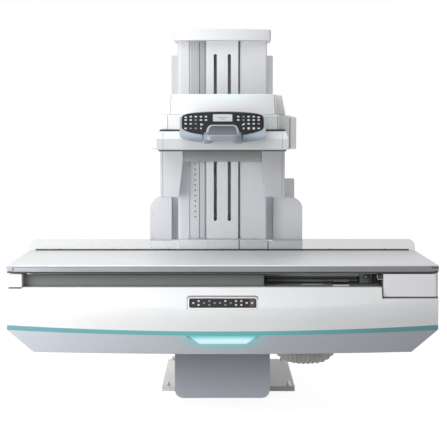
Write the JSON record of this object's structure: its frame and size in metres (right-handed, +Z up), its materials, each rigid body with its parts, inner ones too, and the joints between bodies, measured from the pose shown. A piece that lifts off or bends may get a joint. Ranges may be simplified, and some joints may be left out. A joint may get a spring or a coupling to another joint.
{
  "type": "fluoroscopy x-ray table",
  "caption": "Floor-fixed tilting fluoroscopy table with a sliding tabletop, cassette unit, rear tower and a height-adjustable imaging head with console.",
  "frame": {"origin": "on the floor under the tilt axis, in the middle of the table's length, 250 mm behind the stand's front face, on the base plate's underside", "axes": "+X along the table towards its foot end, to the operator's right; +Y away from the operator; +Z up"},
  "size_m": [2.14, 2.0858, 2.07],
  "materials": {
    "white_cover": "satin powder coat, off white",
    "tabletop_grey": "matt laminate, lavender grey",
    "rail_grey": "brushed anodised",
    "cap_dark": "moulded end cap",
    "guard_clear": "frosted clear sheet",
    "slot_grey": "dark grey paint",
    "belly_grey": "blue grey satin paint",
    "stand_grey": "dark grey satin paint",
    "base_grey": "warm light grey paint",
    "teal_light": "lit diffuser strip",
    "bearing_steel": "ground steel",
    "mast_grey": "light grey satin paint",
    "slit_dark": "black plastic",
    "console_blue": "blue grey satin plastic",
    "keypad_black": "black membrane panel",
    "sleeve_beige": "wrinkled woven sleeve"
  },
  "bodies": {
    "stand": {"base_plate": "base_grey", "stand_foot": "stand_grey", "stand_front_cover": "stand_grey", "stand_housing": "base_grey", "tilt_bearing": "bearing_steel", "drive_cabinet": "base_grey"},
    "tilt_head": {"tilt_shaft": "bearing_steel", "tilt_plate": "stand_grey", "tilt_shoes": "bearing_steel"},
    "table_body": {"tilt_tracks": "bearing_steel", "slot_deck": "slot_grey", "rear_beam": "slot_grey", "rear_cover": "white_cover", "end_covers": "white_cover", "front_fairing": "white_cover", "control_panel": "keypad_black", "light_band": "teal_light", "belly_front": "belly_grey", "light_lens": "teal_light", "belly_floor": "belly_grey", "belly_ends": "belly_grey", "belly_rear": "belly_grey", "left_end_block": "white_cover", "right_end_block": "white_cover", "tower_rail": "bearing_steel", "sleeve_glands": "base_grey", "cable_sleeve": "sleeve_beige"},
    "tabletop_carriage": {"sliding_frame": "slot_grey"},
    "tabletop": {"tabletop_panel": "tabletop_grey", "tabletop_rails": "rail_grey", "tabletop_end_caps": "cap_dark", "rear_guard": "guard_clear"},
    "tower": {"tower_saddle": "mast_grey", "tower_cars": "bearing_steel", "mast_core": "mast_grey", "mast_panel": "white_cover", "height_scale": "base_grey", "mast_back": "mast_grey", "mast_cap": "white_cover", "tower_shrouds": "base_grey", "cable_guide": "base_grey"},
    "imaging_head": {"lift_truck": "bearing_steel", "head_tray": "white_cover", "film_slot": "slit_dark", "head_shoulder": "white_cover", "head_housing": "white_cover", "head_cheeks": "mast_grey", "head_ears": "mast_grey", "head_skirts": "mast_grey", "head_crossbar": "mast_grey", "console_body": "console_blue", "console_keypad": "keypad_black", "console_grip": "console_blue"},
    "bucky": {"bucky_frame": "slit_dark"},
    "cassette_tray": {"cassette_tray": "rail_grey"}
  },
  "joints": [
    {"name": "table_tilt", "type": "hinge", "parent": "stand", "child": "tilt_head", "pos_m": [0, 0, 0.6], "axis": [0, 1, 0], "range_deg": [-30, 90]},
    {"name": "body_shift", "type": "slide", "parent": "tilt_head", "child": "table_body", "axis": [-1, 0, 0], "range_m": [-0.26, 0.76]},
    {"name": "tabletop_travel", "type": "slide", "parent": "table_body", "child": "tabletop_carriage", "axis": [1, 0, 0], "range_m": [-0.3, 0.2]},
    {"name": "tabletop_cross", "type": "slide", "parent": "tabletop_carriage", "child": "tabletop", "axis": [0, -1, 0], "range_m": [0, 0.2]},
    {"name": "tower_travel", "type": "slide", "parent": "table_body", "child": "tower", "axis": [1, 0, 0], "range_m": [-0.4, 0.4]},
    {"name": "head_lift", "type": "slide", "parent": "tower", "child": "imaging_head", "axis": [0, 0, 1], "range_m": [-0.4, 0.25]},
    {"name": "bucky_travel", "type": "slide", "parent": "table_body", "child": "bucky", "axis": [1, 0, 0], "range_m": [-1.15, 0]},
    {"name": "tray_pull", "type": "slide", "parent": "bucky", "child": "cassette_tray", "axis": [0, -1, 0], "range_m": [0, 0.35]}
  ],
  "couplings": [
    {"joint": "body_shift", "follows": "table_tilt", "m_per_rad": 0.48}
  ]
}
